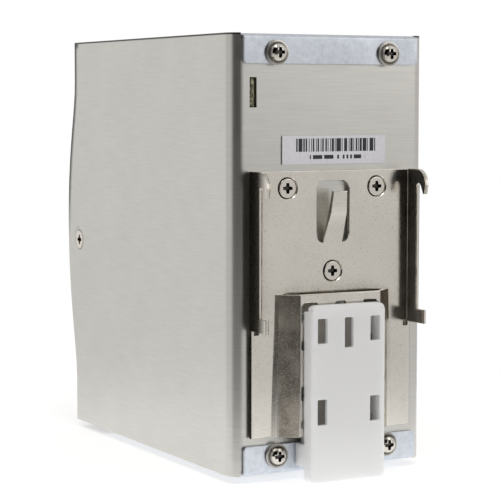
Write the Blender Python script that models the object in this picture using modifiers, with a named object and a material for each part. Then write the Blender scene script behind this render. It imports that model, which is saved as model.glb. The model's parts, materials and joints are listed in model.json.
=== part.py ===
"""DIN rail power supply: a switched-mode supply in a folded aluminium case.

Frame: the origin is the middle of the seat that rests on the rail, +Y points out of the
back towards the rail and +Z points up, so the terminals face -Y. Every length below is in
millimetres, measured from the housing's own corner of reference: x from the middle, y from
the outside of the back wall and z from the underside. The helpers turn them into metres.
"""

import math

import bmesh
import bpy
from mathutils import Matrix, Vector
from mathutils.geometry import interpolate_bezier

MM = 0.001
GAP = 0.3

# Housing
WIDTH = 64.0
HEIGHT = 124.5
CASE_SHEET = 1.5
CASE_BEND = 4.0
FRONT_Y = -109.3
BULGE = 6.1
BULGE_TOP = 112.0
BULGE_PEAK = 64.7
BULGE_BOTTOM = 14.0
BULGE_PEAK_HANDLE = 26.0
BULGE_END_HANDLE = 11.0
INNER_X = WIDTH / 2 - CASE_SHEET

# Covers
COVER_SHEET = 1.0
COVER_INSET = 0.2
COVER_X = INNER_X - GAP
COVER_FRONT_Y = -90.9
FLANGE_X = 28.6
FLANGE_HEIGHT = 8.3
FLANGE_BACK_Y = GAP + COVER_SHEET
VENT_LENGTH = 22.0
VENT_WIDTH = 3.2
VENT_PITCH = 6.6
VENT_ROWS = 12
VENT_FIRST_Y = -84.0

# Rail bracket
BRACKET_SHEET = 1.2
BRACKET_X = 26.6
BRACKET_BACK_Y = GAP + BRACKET_SHEET
BRACKET_TOP = 86.0
BRACKET_BOTTOM = 10.8
SEAT_Y = 6.0
HOOK_ROOT = 82.0
HOOK_TIP = 78.9
HOOK_GAP = 2.5
HOOK_BACK_Y = 10.7
FLANGE_END = 41.3
FOOT_TOP = 45.3
FOOT_BACK_Y = 9.9
RAIL_HEIGHT = 35.0
RAIL_CENTRE = HOOK_ROOT - RAIL_HEIGHT / 2

# Tunnel that guides the latch
TUNNEL_TOP = 51.2
TUNNEL_BASE_X = 19.0
TUNNEL_FLAT_X = 13.3
TUNNEL_BACK_Y = SEAT_Y - 0.1
SLOT_TOP = 48.9
SLOT_INNER_X = 7.5
SLOT_OUTER_X = 12.3
UPPER_SLOT_END = 35.2
LOWER_SLOT = (12.9, 25.6)
MIDDLE_SLOT_X = 1.9
MIDDLE_SLOT_END = 44.0
SPRING_TAB = (24.0, 25.2)
SPRING_TAB_X = 1.8

# Tongue lanced out of a window over the rail's middle
WINDOW = (65.3, 83.1)
WINDOW_WIDTH = 10.8
WINDOW_CORNER = 2.2
TONGUE_X = 3.2
TONGUE_BEND = 73.8
TONGUE_TIP = 80.2

# Latch and its spring
LATCH_X = 12.2
LATCH_BOTTOM = -2.0
LATCH_SEAT = 46.6
LATCH_TOP = 48.4
LATCH_FRONT_Y = TUNNEL_BACK_Y + 0.4
LATCH_BACK_Y = 10.7
LATCH_LIP_Y = 7.9
LATCH_WINDOW_X = (7.1, 10.3)
LATCH_UPPER_WINDOW = (37.7, 44.8)
LATCH_LOWER_WINDOW = (14.6, 21.9)
LATCH_MIDDLE_WINDOW = (36.2, 44.8)
LATCH_MIDDLE_WINDOW_X = 1.45
SLIDER_X = 10.5
SLIDER_Y = (1.6, 4.4)
SLIDER_TOP = 45.5
SPRING_WINDOW_X = 2.4
SPRING_WINDOW = (21.5, 42.0)
SPRING_RADIUS = 1.25
SPRING_WIRE = 0.2
SPRING_TURNS = 7
SPRING_POINTS_PER_TURN = 10

# Fasteners
SHANK_RADIUS = 1.4
SHANK_HOLE_RADIUS = 1.75
PAN_RADIUS = 3.5
COUNTERSUNK_RADIUS = 3.0
COVER_SCREW_X = 18.4
COVER_SCREW_INSET = 5.4
BRACKET_SCREWS = ((14.8, 81.1), (-14.8, 81.1), (0.0, 57.2))
SIDE_SCREW = (-106.6, 60.1)

# Front moulding and terminals
PANEL_WALL = 2.0
PANEL_INSET = 0.6
PANEL_END_INSET = 0.5
PANEL_BACK_Y = -91.2
OUTPUT_POLES = 4
INPUT_POLES = 3
POLE_PITCH = 9.5
BLOCK_FRONT_Y = -108.9
BLOCK_BACK_Y = -92.4
BLOCK_DEPTH = (0.9, 18.5)
TERMINAL_SCREW_DEPTH = 12.3
TERMINAL_HEAD_RADIUS = 2.5
TERMINAL_HEAD_Y = (-108.3, -106.9)
TERMINAL_SHANK_RADIUS = 1.7
TERMINAL_SHANK_END_Y = -100.4
POCKET_Y = (-105.4, -93.7)
CLAMP_X = 3.3
CLAMP_Y = (-102.6, -94.0)
CLAMP_WALL = 1.1
CLAMP_HALF_HEIGHT = 3.2
WIRE_HOLE_Y = (-101.0, -95.6)
WIRE_HOLE_X = 2.7
LIGHT_X = -16.0
LIGHT_RADIUS = 1.5
ADJUSTER_X = 14.0
ADJUSTER_RADIUS = 1.9
CONTROL_Z = 97.0

# Boards
BOARD_SHEET = 1.2
BOARD_X = 24.5
MAIN_BOARD_Y = (-90.2, -1.8)
MAIN_BOARD_Z = (8.0, 116.0)
TAB_END_Y = -0.5
TAB_Z = (104.1, 111.9)
TAB_SLOT_WIDTH = 2.2
SUPPORT_POINTS = ((-84.0, 14.0), (-84.0, 110.0), (-8.0, 14.0), (-8.0, 110.0))
SUPPORT_HOLE_RADIUS = 1.6
FILM_X = (BOARD_X + 3.2, BOARD_X + 3.6)
FILM_Y = (-88.0, -3.0)
FILM_Z = (9.0, 115.0)
FILM_HOLE_RADIUS = 2.7
FRONT_BOARD_X = 28.0
FRONT_BOARD_Y = (BLOCK_BACK_Y + GAP, BLOCK_BACK_Y + GAP + 1.5)
OUTPUT_BOARD_Z = (90.0, 121.0)
INPUT_BOARD_Z = (3.5, 30.0)

# What stands on the main board: places are (y, z), sizes are along y, along z and off the board
STAND_X = BOARD_X - GAP
FUSE = {"y": -82.0, "z": (24.0, 44.0), "radius": 2.6, "lift": 4.0}
FILM_CAPACITOR = {"place": (-70.0, 36.0), "size": (8.0, 18.0, 15.0)}
INPUT_CHOKE = {"place": (-66.0, 17.0), "radius": 9.0, "hole": 4.0, "tall": 14.0}
OUTPUT_CHOKE = {"place": (-24.0, 101.0), "radius": 11.0, "hole": 5.0, "tall": 15.0}
RECTIFIER_BRIDGE = {"place": (-44.0, 14.0), "size": (20.0, 4.0, 18.0)}
BULK_CAPACITOR = {"place": (-26.0, 30.0), "radius": 12.5, "tall": 40.0}
OUTPUT_CAPACITOR_Y = (-78.0, -62.0, -46.0)
OUTPUT_CAPACITOR_Z = 104.0
OUTPUT_CAPACITOR_RADIUS = 6.25
OUTPUT_CAPACITOR_TALL = 25.0
HEAT_SINK_Y = (-86.0, -50.0)
PRIMARY_SINK = {"z": 54.0, "tall": 36.0, "fins_towards": 1}
SECONDARY_SINK = {"z": 86.0, "tall": 34.0, "fins_towards": -1}
COOLED_DEVICE_SIZE = (16.0, 5.0, 20.0)
COOLED_DEVICE_Y = -64.0
TRANSFORMER_PLACE = (-28.0, 67.0)
CORE_SIZE = (12.0, 36.0, 32.0)
CORE_YOKE = 5.0
CORE_LEG = 4.7
CORE_LIMB = 5.0
WINDING_DEPTH = 34.0
WINDING_HEIGHT = 22.0

# Label
LABEL_X = (-18.2, 16.0)
LABEL_Z = (87.7, 95.8)
LABEL_SHEET = 0.2

ROUND = 24
SMALL_ROUND = 16

FINISHES = {
    "brushed_aluminium": ((0.62, 0.61, 0.58), 0.38, 1.0),
    "zinc_plate": ((0.60, 0.63, 0.68), 0.35, 1.0),
    "nickel_plate": ((0.64, 0.61, 0.55), 0.22, 1.0),
    "screw_nickel": ((0.66, 0.64, 0.60), 0.2, 1.0),
    "white_plastic": ((0.88, 0.88, 0.90), 0.4, 0.0),
    "spring_steel": ((0.45, 0.45, 0.46), 0.3, 1.0),
    "label_paper": ((0.90, 0.90, 0.91), 0.6, 0.0),
    "panel_plastic": ((0.16, 0.17, 0.18), 0.55, 0.0),
    "terminal_plastic": ((0.05, 0.22, 0.12), 0.45, 0.0),
    "terminal_steel": ((0.70, 0.69, 0.66), 0.3, 1.0),
    "light_lens": ((0.20, 0.75, 0.25), 0.15, 0.0),
    "adjuster_blue": ((0.08, 0.22, 0.55), 0.4, 0.0),
    "board_laminate": ((0.62, 0.56, 0.38), 0.5, 0.0),
    "nylon": ((0.85, 0.84, 0.78), 0.5, 0.0),
    "insulation_film": ((0.75, 0.74, 0.66), 0.4, 0.0),
    "ferrite": ((0.09, 0.09, 0.10), 0.6, 0.0),
    "winding_tape": ((0.72, 0.55, 0.12), 0.45, 0.0),
    "heat_sink_aluminium": ((0.55, 0.56, 0.58), 0.45, 1.0),
    "capacitor_sleeve": ((0.05, 0.06, 0.10), 0.35, 0.0),
    "component_black": ((0.03, 0.03, 0.03), 0.5, 0.0),
    "film_yellow": ((0.80, 0.66, 0.15), 0.4, 0.0),
    "fuse_ceramic": ((0.80, 0.78, 0.72), 0.35, 0.0),
}

# An outline's own X and Y turned to lie across the axis that it is extruded along.
TURN = {
    "x": Matrix(((0, 0, 1), (1, 0, 0), (0, 1, 0))).to_euler(),
    "y": Matrix(((1, 0, 0), (0, 0, -1), (0, 1, 0))).to_euler(),
    "z": Matrix.Identity(3).to_euler(),
}


# ---- Scene, materials and modelling helpers ----

def clear_scene():
    for thing in list(bpy.data.objects):
        bpy.data.objects.remove(thing, do_unlink=True)


def new_collection(name):
    collection = bpy.data.collections.new(name)
    bpy.context.scene.collection.children.link(collection)
    return collection


def finish_material(finish):
    if finish in bpy.data.materials:
        return bpy.data.materials[finish]
    colour, roughness, metallic = FINISHES[finish]
    material = bpy.data.materials.new(finish)
    material.use_nodes = True
    shader = material.node_tree.nodes["Principled BSDF"]
    shader.inputs["Base Color"].default_value = (*colour, 1.0)
    shader.inputs["Roughness"].default_value = roughness
    shader.inputs["Metallic"].default_value = metallic
    return material


def place(thing, finish):
    """Hang an object on the housing's corner of reference, as a part or as a cutter."""
    thing.parent = housing
    if finish is None:
        cutters.objects.link(thing)
        thing.hide_render = True
        thing.display_type = "WIRE"
        return thing
    parts.objects.link(thing)
    thing.data.materials.append(finish_material(finish))
    return thing


def mesh_object(name, bm, middle, finish, turn=None):
    mesh = bpy.data.meshes.new(name)
    bm.to_mesh(mesh)
    bm.free()
    thing = bpy.data.objects.new(name, mesh)
    thing.location = Vector(middle) * MM
    if turn is not None:
        thing.rotation_euler = turn
    return place(thing, finish)


def box(name, corner, other, finish=None):
    """A box between two opposite corners."""
    low = Vector(map(min, corner, other))
    high = Vector(map(max, corner, other))
    bm = bmesh.new()
    bmesh.ops.create_cube(bm, size=MM)
    bmesh.ops.scale(bm, vec=high - low, verts=bm.verts)
    return mesh_object(name, bm, (low + high) / 2, finish)


def cylinder(name, start, end, radius, finish=None, segments=ROUND):
    """A cylinder whose axis runs between two points."""
    start = Vector(start)
    run = Vector(end) - start
    bm = bmesh.new()
    bmesh.ops.create_cone(bm, cap_ends=True, segments=segments, radius1=radius * MM,
                          radius2=radius * MM, depth=run.length * MM)
    turn = run.to_track_quat("Z", "Y").to_euler()
    thing = mesh_object(name, bm, start + run / 2, finish, turn)
    smooth(thing)
    return thing


def smooth(thing, angle=40.0):
    thing.data.shade_smooth()
    thing.data.set_sharp_from_angle(angle=math.radians(angle))


def turned(name, profile, start, direction, finish=None, steps=ROUND, ring=False):
    """A round piece: (radius, height) points down its outer side, from the top to the start."""
    bm = bmesh.new()
    points = [bm.verts.new((radius * MM, 0.0, height * MM)) for radius, height in profile]
    if ring:
        points.append(points[0])
    for upper, lower in zip(points, points[1:]):
        bm.edges.new((upper, lower))
    turn = Vector(direction).to_track_quat("Z", "Y").to_euler()
    thing = mesh_object(name, bm, start, finish, turn)
    screw = thing.modifiers.new("Turn", "SCREW")
    screw.steps = steps
    screw.render_steps = steps
    screw.use_merge_vertices = True
    screw.merge_threshold = 0.00001
    return thing


def prism(name, outlines, low, high, axis, finish=None):
    """Closed flat outlines, filled and extruded along an axis between two levels."""
    curve = bpy.data.curves.new(name, "CURVE")
    curve.dimensions = "2D"
    curve.fill_mode = "BOTH"
    curve.extrude = (high - low) / 2 * MM
    for outline in outlines:
        spline = curve.splines.new("POLY")
        spline.points.add(len(outline) - 1)
        spline.use_cyclic_u = True
        for point, (across, up) in zip(spline.points, outline):
            point.co = (across * MM, up * MM, 0.0, 1.0)
    middle = Vector([(low + high) / 2 if name_of_axis == axis else 0.0 for name_of_axis in "xyz"])
    return curve_to_mesh(name, curve, middle, TURN[axis], finish)


def curve_to_mesh(name, curve, middle, turn, finish):
    """Turn a curve into a closed mesh at the same place, so that it can be cut and joined."""
    source = bpy.data.objects.new(name + "_curve", curve)
    cutters.objects.link(source)
    evaluated = source.evaluated_get(bpy.context.evaluated_depsgraph_get())
    mesh = bpy.data.meshes.new_from_object(evaluated)
    bpy.data.objects.remove(source, do_unlink=True)
    bm = bmesh.new()
    bm.from_mesh(mesh)
    bpy.data.meshes.remove(mesh)
    bmesh.ops.remove_doubles(bm, verts=bm.verts, dist=0.000001)
    return mesh_object(name, bm, middle, finish, turn)


def folded(name, path, thickness, low, high, axis, finish=None):
    """A sheet folded along a path, which goes round the inside of the fold to its left."""
    bm = bmesh.new()
    near = [bm.verts.new((across * MM, up * MM, -(high - low) / 2 * MM)) for across, up in path]
    far = [bm.verts.new((across * MM, up * MM, (high - low) / 2 * MM)) for across, up in path]
    for index in range(len(path) - 1):
        bm.faces.new((near[index], near[index + 1], far[index + 1], far[index]))
    middle = [(low + high) / 2 if name_of_axis == axis else 0.0 for name_of_axis in "xyz"]
    thing = mesh_object(name, bm, middle, finish, TURN[axis])
    wall = thing.modifiers.new("Wall", "SOLIDIFY")
    wall.thickness = thickness * MM
    wall.use_even_offset = True
    return thing


def boolean(target, others, operation):
    for other in others:
        step = target.modifiers.new(operation.title(), "BOOLEAN")
        step.operation = operation
        step.solver = "EXACT"
        step.object = other
    return target


def cut(target, *others):
    return boolean(target, others, "DIFFERENCE")


def join(target, *others):
    return boolean(target, others, "UNION")


def soften(thing, width, segments=2):
    """Round a plain box's edges."""
    bevel = thing.modifiers.new("Edges", "BEVEL")
    bevel.width = width * MM
    bevel.segments = segments
    return thing


def arc(centre, radius, start, end, steps):
    """Points along an arc, with its angles in degrees."""
    angles = [math.radians(start + (end - start) * step / steps) for step in range(steps + 1)]
    return [(centre[0] + radius * math.cos(a), centre[1] + radius * math.sin(a)) for a in angles]


def rounded_rectangle(middle, width, height, radius, steps=3):
    across = width / 2 - radius
    up = height / 2 - radius
    points = []
    for side_x, side_y, start in ((1, 1, 0), (-1, 1, 90), (-1, -1, 180), (1, -1, 270)):
        centre = (middle[0] + side_x * across, middle[1] + side_y * up)
        points += arc(centre, radius, start, start + 90, steps)
    return points


def slot_outline(middle, length, width):
    """A slot with round ends, lying across."""
    reach = (length - width) / 2
    right = arc((middle[0] + reach, middle[1]), width / 2, -90, 90, 4)
    left = arc((middle[0] - reach, middle[1]), width / 2, 90, 270, 4)
    return right + left


def cross_outline(reach, half_width):
    """The plus-shaped mouth of a cross recess."""
    root = half_width * 1.3
    corner = ((reach, -half_width), (reach, half_width), (root, root))
    points = []
    for turn in range(4):
        angle = math.radians(90 * turn)
        spin = Matrix.Rotation(angle, 2)
        points += [tuple(spin @ Vector(point)) for point in corner]
    return points


def front_edge(inset):
    """The side panels' front edge from the top to the bottom: straight, bulging, straight."""
    straight = FRONT_Y + inset
    peak = Vector((straight - BULGE, BULGE_PEAK, 0))
    top = Vector((straight, BULGE_TOP, 0))
    bottom = Vector((straight, BULGE_BOTTOM, 0))
    end_handle = Vector((0, BULGE_END_HANDLE, 0))
    peak_handle = Vector((0, BULGE_PEAK_HANDLE, 0))
    upper = interpolate_bezier(top, top - end_handle, peak + peak_handle, peak, 10)
    lower = interpolate_bezier(peak, peak - peak_handle, bottom + end_handle, bottom, 10)
    return [(point.x, point.y) for point in upper + lower[1:]]


# ---- Case, covers and front moulding ----

def case_shell():
    """Both side panels and the back wall, folded from one aluminium sheet."""
    side = WIDTH / 2
    bend = side - CASE_BEND
    overhang = 10.0
    path = [(side, FRONT_Y - overhang)]
    path += arc((bend, -CASE_BEND), CASE_BEND, 0, 90, 5)
    path += arc((-bend, -CASE_BEND), CASE_BEND, 90, 180, 5)
    path += [(-side, FRONT_Y - overhang)]
    shell = folded("case_shell", path, CASE_SHEET, 0.0, HEIGHT, "z", "brushed_aluminium")

    outline = [(overhang, -overhang), (overhang, HEIGHT + overhang), (FRONT_Y, HEIGHT + overhang)]
    outline += front_edge(0.0)
    outline += [(FRONT_Y, -overhang)]
    profile = prism("case_profile_cutter", [outline], -side - overhang, side + overhang, "x")
    boolean(shell, [profile], "INTERSECT")

    notch_x = FLANGE_X + GAP
    notch = COVER_INSET + COVER_SHEET + GAP
    for name, edge, beyond in (("top", HEIGHT - notch, HEIGHT + 1), ("bottom", notch, -1.0)):
        cut(shell, box(f"{name}_notch_cutter", (-notch_x, -CASE_SHEET - 0.5, edge), (notch_x, 1.0, beyond)))

    through = (-CASE_SHEET - 1.0, 1.0)
    tab_x = BOARD_X + BOARD_SHEET / 2
    half_slot = TAB_SLOT_WIDTH / 2
    cut(shell, box("tab_slot_cutter", (tab_x - half_slot, through[0], TAB_Z[0] - GAP),
                   (tab_x + half_slot, through[1], TAB_Z[1] + GAP)))
    for x, z in cover_screw_points() + list(BRACKET_SCREWS):
        cut(shell, cylinder("back_hole_cutter", (x, through[0], z), (x, through[1], z),
                            SHANK_HOLE_RADIUS, segments=SMALL_ROUND))
    y, z = SIDE_SCREW
    for direction in (1, -1):
        cut(shell, countersink((direction * side, y, z), (direction, 0, 0), CASE_SHEET + 1))
    return shell


def cover_screw_points():
    levels = (HEIGHT - COVER_SCREW_INSET, COVER_SCREW_INSET)
    return [(side * COVER_SCREW_X, z) for z in levels for side in (1, -1)]


def countersink(surface, outward, depth):
    """A cutter for a flush screw's cone and shank, sunk in from a surface."""
    mouth = COUNTERSUNK_RADIUS + GAP
    above = 1.0
    slope = mouth - SHANK_HOLE_RADIUS
    profile = ((0, above), (mouth, above), (mouth, 0), (SHANK_HOLE_RADIUS, -slope),
               (SHANK_HOLE_RADIUS, -depth), (0, -depth))
    return turned("countersink_cutter", profile, surface, outward)


def cover(name, top):
    """A perforated cover whose end is folded over the back wall."""
    outer = HEIGHT - COVER_INSET if top else COVER_INSET
    flange_end = outer - FLANGE_HEIGHT if top else outer + FLANGE_HEIGHT
    bend = 1.2
    inward = -bend if top else bend
    corner = (FLANGE_BACK_Y - bend, outer + inward)
    path = [(FLANGE_BACK_Y, flange_end)]
    path += arc(corner, bend, 0, 90 if top else -90, 3)
    path += [(COVER_FRONT_Y, outer)]
    if not top:
        path.reverse()
    sheet = folded(name, path, COVER_SHEET, -COVER_X, COVER_X, "x", "zinc_plate")

    low, high = sorted((flange_end + inward, outer - inward))
    for side in (1, -1):
        cut(sheet, box(f"{name}_corner_cutter", (side * FLANGE_X, -CASE_BEND - GAP, low),
                       (side * (COVER_X + 1), 3.0, high)))

    column_x = COVER_X / 2
    rows = [VENT_FIRST_Y + row * VENT_PITCH for row in range(VENT_ROWS)]
    vents = [slot_outline((side * column_x, y), VENT_LENGTH, VENT_WIDTH) for side in (1, -1) for y in rows]
    cut(sheet, prism(f"{name}_vent_cutter", vents, outer - 3, outer + 3, "z"))

    for x, z in cover_screw_points():
        if (z > HEIGHT / 2) == top:
            cut(sheet, cylinder(f"{name}_hole_cutter", (x, -1, z), (x, 3, z), SHANK_HOLE_RADIUS,
                                segments=SMALL_ROUND))
    return sheet


def level(top, depth):
    """The height that lies a given depth in from the top or the bottom of the housing."""
    return HEIGHT - depth if top else depth


def front_panel():
    """The bulged front moulding, with openings for the terminals, the light and the adjuster."""
    top, bottom = HEIGHT - PANEL_END_INSET, PANEL_END_INSET
    path = [(PANEL_BACK_Y, top), (FRONT_Y + PANEL_INSET, top)]
    path += front_edge(PANEL_INSET)
    path += [(FRONT_Y + PANEL_INSET, bottom), (PANEL_BACK_Y, bottom)]
    panel = folded("front_panel", path, PANEL_WALL, -COVER_X, COVER_X, "x", "panel_plastic")

    y, z = SIDE_SCREW
    boss_front = FRONT_Y - BULGE + PANEL_INSET + PANEL_WALL / 2
    boss_half = 3.5
    boss_length = 7.0
    for side in (1, -1):
        boss = box("panel_boss_cutter", (side * (COVER_X - boss_length), boss_front, z - boss_half),
                   (side * COVER_X, y + boss_half, z + boss_half))
        join(panel, boss)
    for side in (1, -1):
        cut(panel, cylinder("boss_hole_cutter", (side * (COVER_X + 1), y, z),
                            (side * (COVER_X - boss_length - 1), y, z), SHANK_HOLE_RADIUS,
                            segments=SMALL_ROUND))

    for top, poles in ((True, OUTPUT_POLES), (False, INPUT_POLES)):
        half = block_half_width(poles) + GAP
        cut(panel, box("terminal_opening_cutter", (-half, FRONT_Y - 2, level(top, -1)),
                       (half, PANEL_BACK_Y + 1, level(top, BLOCK_DEPTH[1] + GAP))))
    for x, radius in ((LIGHT_X, LIGHT_RADIUS), (ADJUSTER_X, ADJUSTER_RADIUS)):
        cut(panel, cylinder("control_hole_cutter", (x, FRONT_Y - BULGE, CONTROL_Z),
                            (x, FRONT_Y + 6, CONTROL_Z), radius + GAP))
    return panel


# ---- Rail bracket, latch and spring ----

def din_bracket():
    """The plated bracket: flanges with hooks and feet, a lanced tongue and the latch tunnel."""
    overlap = 0.3
    bracket = bracket_sheet("din_bracket", BRACKET_BOTTOM, TUNNEL_TOP, True, "nickel_plate")
    join(bracket, bracket_sheet("upper_sheet_cutter", TUNNEL_TOP - overlap, BRACKET_TOP, False))
    inner_x = BRACKET_X - BRACKET_SHEET - 0.2
    for name, low in (("right", inner_x), ("left", -BRACKET_X - 1)):
        high = low + BRACKET_X + 1 - inner_x
        cut(bracket, prism(f"{name}_flange_cutter", [flange_waste()], low, high, "x"))
    add_tunnel_slots(bracket)
    add_tongue(bracket)
    for x, z in BRACKET_SCREWS:
        cut(bracket, countersink((x, BRACKET_BACK_Y, z), (0, 1, 0), BRACKET_SHEET + 1))
    return bracket


def bracket_sheet(name, low, high, raised, finish=None):
    """The bracket's sheet seen from above, with or without the band that forms the tunnel."""
    reach = HOOK_BACK_Y + 1
    run = TUNNEL_BACK_Y - BRACKET_BACK_Y
    slope = math.atan2(run, TUNNEL_BASE_X - TUNNEL_FLAT_X)
    fold = BRACKET_SHEET * math.tan(slope / 2)
    half = [(TUNNEL_FLAT_X - fold, GAP + run), (TUNNEL_BASE_X - fold, GAP)] if raised else []
    half += [(BRACKET_X, GAP), (BRACKET_X, reach)]
    path = [(-x, y) for x, y in reversed(half)] + half
    return folded(name, path, BRACKET_SHEET, low, high, "z", finish)


def flange_waste():
    """What is cut off a flange, seen from the side, to leave the foot, seat edge and hook."""
    hook_front = SEAT_Y + HOOK_GAP
    hook_radius = HOOK_BACK_Y - SEAT_Y
    beyond = HOOK_BACK_Y + 3
    outline = [(beyond, BRACKET_BOTTOM - 1), (BRACKET_BACK_Y, BRACKET_BOTTOM - 1)]
    outline += [(BRACKET_BACK_Y, FLANGE_END), (FOOT_BACK_Y, FLANGE_END), (FOOT_BACK_Y, FOOT_TOP)]
    outline += [(SEAT_Y, FOOT_TOP)]
    outline += arc((SEAT_Y + HOOK_GAP / 2, HOOK_ROOT - HOOK_GAP / 2), HOOK_GAP / 2, 180, 0, 6)
    outline += [(hook_front + 0.8, HOOK_TIP), (HOOK_BACK_Y - 0.5, HOOK_TIP)]
    outline += arc((SEAT_Y, BRACKET_TOP - hook_radius), hook_radius, 0, 90, 6)
    outline += [(SEAT_Y, BRACKET_TOP + 1), (beyond, BRACKET_TOP + 1)]
    return outline


def add_tunnel_slots(bracket):
    """Slots in the tunnel's face for the latch's ribs, and the tab that the spring stands on."""
    outer_width = SLOT_OUTER_X - SLOT_INNER_X
    outer_middle = (SLOT_OUTER_X + SLOT_INNER_X) / 2
    slots = []
    for low, high in ((UPPER_SLOT_END, SLOT_TOP), LOWER_SLOT):
        for side in (1, -1):
            slots.append(rounded_rectangle((side * outer_middle, (low + high) / 2), outer_width,
                                           high - low, 0.4, 1))
    slots.append(rounded_rectangle((0, (MIDDLE_SLOT_END + SLOT_TOP) / 2), 2 * MIDDLE_SLOT_X,
                                   SLOT_TOP - MIDDLE_SLOT_END, 0.4, 1))
    lance_height = 3.2
    slots.append(rounded_rectangle((0, SPRING_TAB[1] + lance_height / 2 - 0.2),
                                   2 * SPRING_TAB_X + 0.4, lance_height, 0.3, 1))
    cut(bracket, prism("tunnel_slot_cutter", slots, TUNNEL_BACK_Y - 3, TUNNEL_BACK_Y + 1, "y"))
    join(bracket, box("spring_tab_cutter", (-SPRING_TAB_X, GAP + BRACKET_SHEET, SPRING_TAB[0]),
                      (SPRING_TAB_X, TUNNEL_BACK_Y - BRACKET_SHEET / 2, SPRING_TAB[1])))


def add_tongue(bracket):
    """The window over the rail's middle and the tongue that is lanced out of it."""
    middle = (0, sum(WINDOW) / 2)
    window = rounded_rectangle(middle, WINDOW_WIDTH, WINDOW[1] - WINDOW[0], WINDOW_CORNER)
    cut(bracket, prism("tongue_window_cutter", [window], -1, BRACKET_BACK_Y + 1, "y"))

    root = WINDOW[0] - 0.5
    inset = 0.2
    outer = [(BRACKET_BACK_Y - inset, root), (SEAT_Y - 1.1, TONGUE_BEND), (SEAT_Y - inset, TONGUE_TIP)]
    inner = [(GAP + inset, root), (outer[1][0] - BRACKET_SHEET - 0.1, TONGUE_BEND + 0.2),
             (outer[2][0] - BRACKET_SHEET, TONGUE_TIP + 0.1)]
    outline = outer + list(reversed(inner))
    join(bracket, prism("tongue_cutter", [outline], -TONGUE_X, TONGUE_X, "x"))


def rail_latch():
    """The moulded latch: an outer slide over the tunnel and an inner slide within it."""
    latch = box("rail_latch", (-LATCH_X, LATCH_FRONT_Y, LATCH_BOTTOM),
                (LATCH_X, LATCH_BACK_Y, LATCH_SEAT), "white_plastic")
    lip_slope = 1.0
    lip = [(LATCH_LIP_Y, LATCH_SEAT - 2), (LATCH_BACK_Y, LATCH_SEAT - 2),
           (LATCH_BACK_Y, LATCH_TOP - lip_slope), (LATCH_BACK_Y - lip_slope, LATCH_TOP),
           (LATCH_LIP_Y, LATCH_TOP)]
    join(latch, prism("latch_lip_cutter", [lip], -LATCH_X + 0.4, LATCH_X - 0.4, "x"))

    foot_low, foot_high = 2.3, 8.6
    join(latch, box("latch_foot_cutter", (-LATCH_X, SLIDER_Y[0], foot_low),
                    (LATCH_X, LATCH_FRONT_Y + 1, foot_high)))
    slider = box("latch_slider_cutter", (-SLIDER_X, SLIDER_Y[0], foot_low + 1),
                 (SLIDER_X, SLIDER_Y[1], SLIDER_TOP))
    cut(slider, box("spring_window_cutter", (-SPRING_WINDOW_X, 0, SPRING_WINDOW[0]),
                    (SPRING_WINDOW_X, LATCH_FRONT_Y, SPRING_WINDOW[1])))
    join(latch, slider)

    rib_low, rib_high = 38.9, 44.0
    rib_step = 23.0
    for drop in (0.0, rib_step):
        for side in (1, -1):
            join(latch, box("latch_rib_cutter", (side * (LATCH_WINDOW_X[1] + 0.2), SLIDER_Y[1] + GAP,
                            rib_low - drop), (side * (SLOT_OUTER_X - 0.4), LATCH_FRONT_Y + 1,
                            rib_high - drop)))

    windows = []
    for low, high in (LATCH_UPPER_WINDOW, LATCH_LOWER_WINDOW):
        for side in (1, -1):
            middle = (side * sum(LATCH_WINDOW_X) / 2, (low + high) / 2)
            width = LATCH_WINDOW_X[1] - LATCH_WINDOW_X[0]
            windows.append(rounded_rectangle(middle, width, high - low, 0.2, 1))
    low, high = LATCH_MIDDLE_WINDOW
    windows.append(rounded_rectangle((0, (low + high) / 2), 2 * LATCH_MIDDLE_WINDOW_X, high - low, 0.2, 1))
    cut(latch, prism("latch_window_cutter", windows, LATCH_FRONT_Y - 0.5, LATCH_BACK_Y + 1, "y"))
    return latch


def latch_spring():
    """A compression spring between the bracket's tab and the top of the slider's window."""
    bottom = SPRING_TAB[1] + GAP + SPRING_WIRE
    top = SPRING_WINDOW[1] - GAP - SPRING_WIRE
    middle_y = (SLIDER_Y[0] + SLIDER_Y[1]) / 2
    count = SPRING_TURNS * SPRING_POINTS_PER_TURN
    curve = bpy.data.curves.new("latch_spring", "CURVE")
    curve.dimensions = "3D"
    curve.bevel_depth = SPRING_WIRE * MM
    curve.bevel_resolution = 2
    curve.use_fill_caps = True
    spline = curve.splines.new("POLY")
    spline.points.add(count)
    for index, point in enumerate(spline.points):
        angle = 2 * math.pi * index / SPRING_POINTS_PER_TURN
        rise = (top - bottom) * index / count
        point.co = (SPRING_RADIUS * math.cos(angle) * MM, SPRING_RADIUS * math.sin(angle) * MM,
                    rise * MM, 1.0)
    spring = bpy.data.objects.new("latch_spring", curve)
    spring.location = Vector((0, middle_y, bottom)) * MM
    return place(spring, "spring_steel")


# ---- Fasteners ----

def recess(name, surface, outward_axis, direction, depth=1.0):
    """A cutter for the cross recess in a screw's head."""
    mouth = cross_outline(1.5, 0.42)
    along = dict(zip("xyz", surface))
    low, high = sorted((along[outward_axis] - direction * depth, along[outward_axis] + direction))
    across = [axis for axis in "xyz" if axis != outward_axis]
    outline = [(u + along[across[0]], v + along[across[1]]) for u, v in mouth]
    return prism(f"{name}_recess_cutter", [outline], low, high, outward_axis)


def pan_screw(name, x, z, seat_y):
    """A pan head screw with its own washer, screwed in from the back."""
    dome = 2.1
    length = 7.0
    profile = ((0, dome), (1.4, dome - 0.15), (2.3, dome - 0.6), (2.7, 0.6), (PAN_RADIUS, 0.5),
               (PAN_RADIUS, 0), (SHANK_RADIUS, 0), (SHANK_RADIUS, -length), (0, -length))
    screw = turned(name, profile, (x, seat_y + GAP, z), (0, 1, 0), "screw_nickel")
    cut(screw, recess(name, (x, seat_y + GAP + dome, z), "y", 1))
    return screw


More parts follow.
